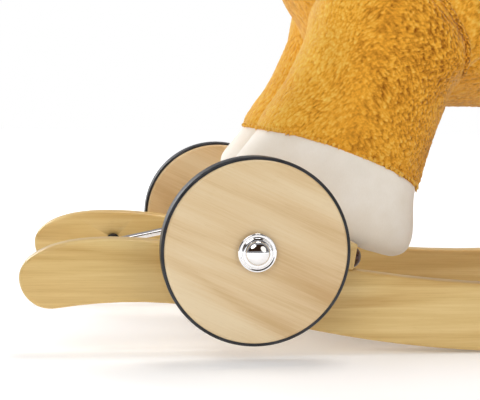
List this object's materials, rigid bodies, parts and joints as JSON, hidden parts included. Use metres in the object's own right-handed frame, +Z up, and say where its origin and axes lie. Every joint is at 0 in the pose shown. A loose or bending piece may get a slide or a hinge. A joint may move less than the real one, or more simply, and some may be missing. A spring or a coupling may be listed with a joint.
{
  "type": "rocking horse",
  "caption": "Plush rocking horse on curved wooden rockers, with wheel frames at both ends that fold over the tips and under the rockers.",
  "frame": {"origin": "on the floor, under the middle of the rockers, in the middle plane", "axes": "+Z up, the horse faces -X, its left side is at -Y"},
  "size_m": [0.7196, 0.2974, 0.596],
  "materials": {
    "pine": "clear satin lacquer over pale pine",
    "inner_wood": "bare plywood and dowel, hidden",
    "wheel_wood": "pale lacquered solid wood",
    "tyre_rubber": "smooth black rubber band",
    "chrome": "bright chrome plate",
    "zinc_steel": "zinc plated",
    "brown_plastic": "glossy dark brown plastic",
    "black_plastic": "black moulded plastic",
    "cream_fabric": "smooth off-white brushed fabric",
    "golden_plush": "short golden brown plush pile",
    "mane_fur": "longer off-white pile",
    "felt": "brown felt",
    "saddle_leather": "soft brown imitation leather",
    "strap_leather": "dark brown imitation leather strap"
  },
  "bodies": {
    "horse": {"rocker_left": "pine", "rocker_right": "pine", "front_cross_board": "pine", "rear_cross_board": "pine", "board_screws": "zinc_steel", "board_edge_screws": "zinc_steel", "board_caps": "brown_plastic", "pivot_bushes": "black_plastic", "leg_bolts": "zinc_steel", "core_screws": "zinc_steel", "spine_board": "inner_wood", "neck_core": "inner_wood", "neck_bolt": "zinc_steel", "front_core_left": "inner_wood", "front_core_right": "inner_wood", "rear_core_left": "inner_wood", "rear_core_right": "inner_wood", "front_hoof_left": "cream_fabric", "front_hoof_right": "cream_fabric", "rear_hoof_left": "cream_fabric", "rear_hoof_right": "cream_fabric", "front_leg_left": "golden_plush", "front_leg_right": "golden_plush", "rear_leg_left": "golden_plush", "rear_leg_right": "golden_plush", "body_plush": "golden_plush", "neck_head_plush": "golden_plush", "muzzle_plush": "cream_fabric", "ear_left": "golden_plush", "ear_right": "golden_plush", "eyes": "black_plastic", "mane_plush": "mane_fur", "tail_plush": "mane_fur", "handle_bar": "pine", "saddle_blanket": "felt", "saddle_seat": "saddle_leather", "girth_strap": "strap_leather", "bridle": "strap_leather"},
    "front_frame": {"front_axle": "chrome", "front_arm_left": "chrome", "front_arm_right": "chrome", "front_sleeves": "black_plastic", "front_washers": "chrome", "front_hub_caps": "chrome"},
    "front_wheel_left_spin": {"front_wheel_left": "wheel_wood", "front_tyre_left": "tyre_rubber"},
    "front_wheel_right_spin": {"front_wheel_right": "wheel_wood", "front_tyre_right": "tyre_rubber"},
    "rear_frame": {"rear_axle": "chrome", "rear_arm_left": "chrome", "rear_arm_right": "chrome", "rear_sleeves": "black_plastic", "rear_washers": "chrome", "rear_hub_caps": "chrome"},
    "rear_wheel_left_spin": {"rear_wheel_left": "wheel_wood", "rear_tyre_left": "tyre_rubber"},
    "rear_wheel_right_spin": {"rear_wheel_right": "wheel_wood", "rear_tyre_right": "tyre_rubber"}
  },
  "joints": [
    {"name": "front_frame_fold", "type": "hinge", "parent": "horse", "child": "front_frame", "pos_m": [-0.296, 0, 0.055], "axis": [0, -1, 0], "range_deg": [0, 326.3]},
    {"name": "front_left_wheel_roll", "type": "hinge", "parent": "front_frame", "child": "front_wheel_left_spin", "pos_m": [-0.2074, -0.129, 0.07377], "axis": [0, 1, 0], "continuous": true},
    {"name": "front_right_wheel_roll", "type": "hinge", "parent": "front_frame", "child": "front_wheel_right_spin", "pos_m": [-0.2074, 0.129, 0.07377], "axis": [0, 1, 0], "continuous": true},
    {"name": "rear_frame_fold", "type": "hinge", "parent": "horse", "child": "rear_frame", "pos_m": [0.296, 0, 0.055], "axis": [0, 1, 0], "range_deg": [0, 326.3]},
    {"name": "rear_left_wheel_roll", "type": "hinge", "parent": "rear_frame", "child": "rear_wheel_left_spin", "pos_m": [0.2074, -0.129, 0.07377], "axis": [0, 1, 0], "continuous": true},
    {"name": "rear_right_wheel_roll", "type": "hinge", "parent": "rear_frame", "child": "rear_wheel_right_spin", "pos_m": [0.2074, 0.129, 0.07377], "axis": [0, 1, 0], "continuous": true}
  ]
}
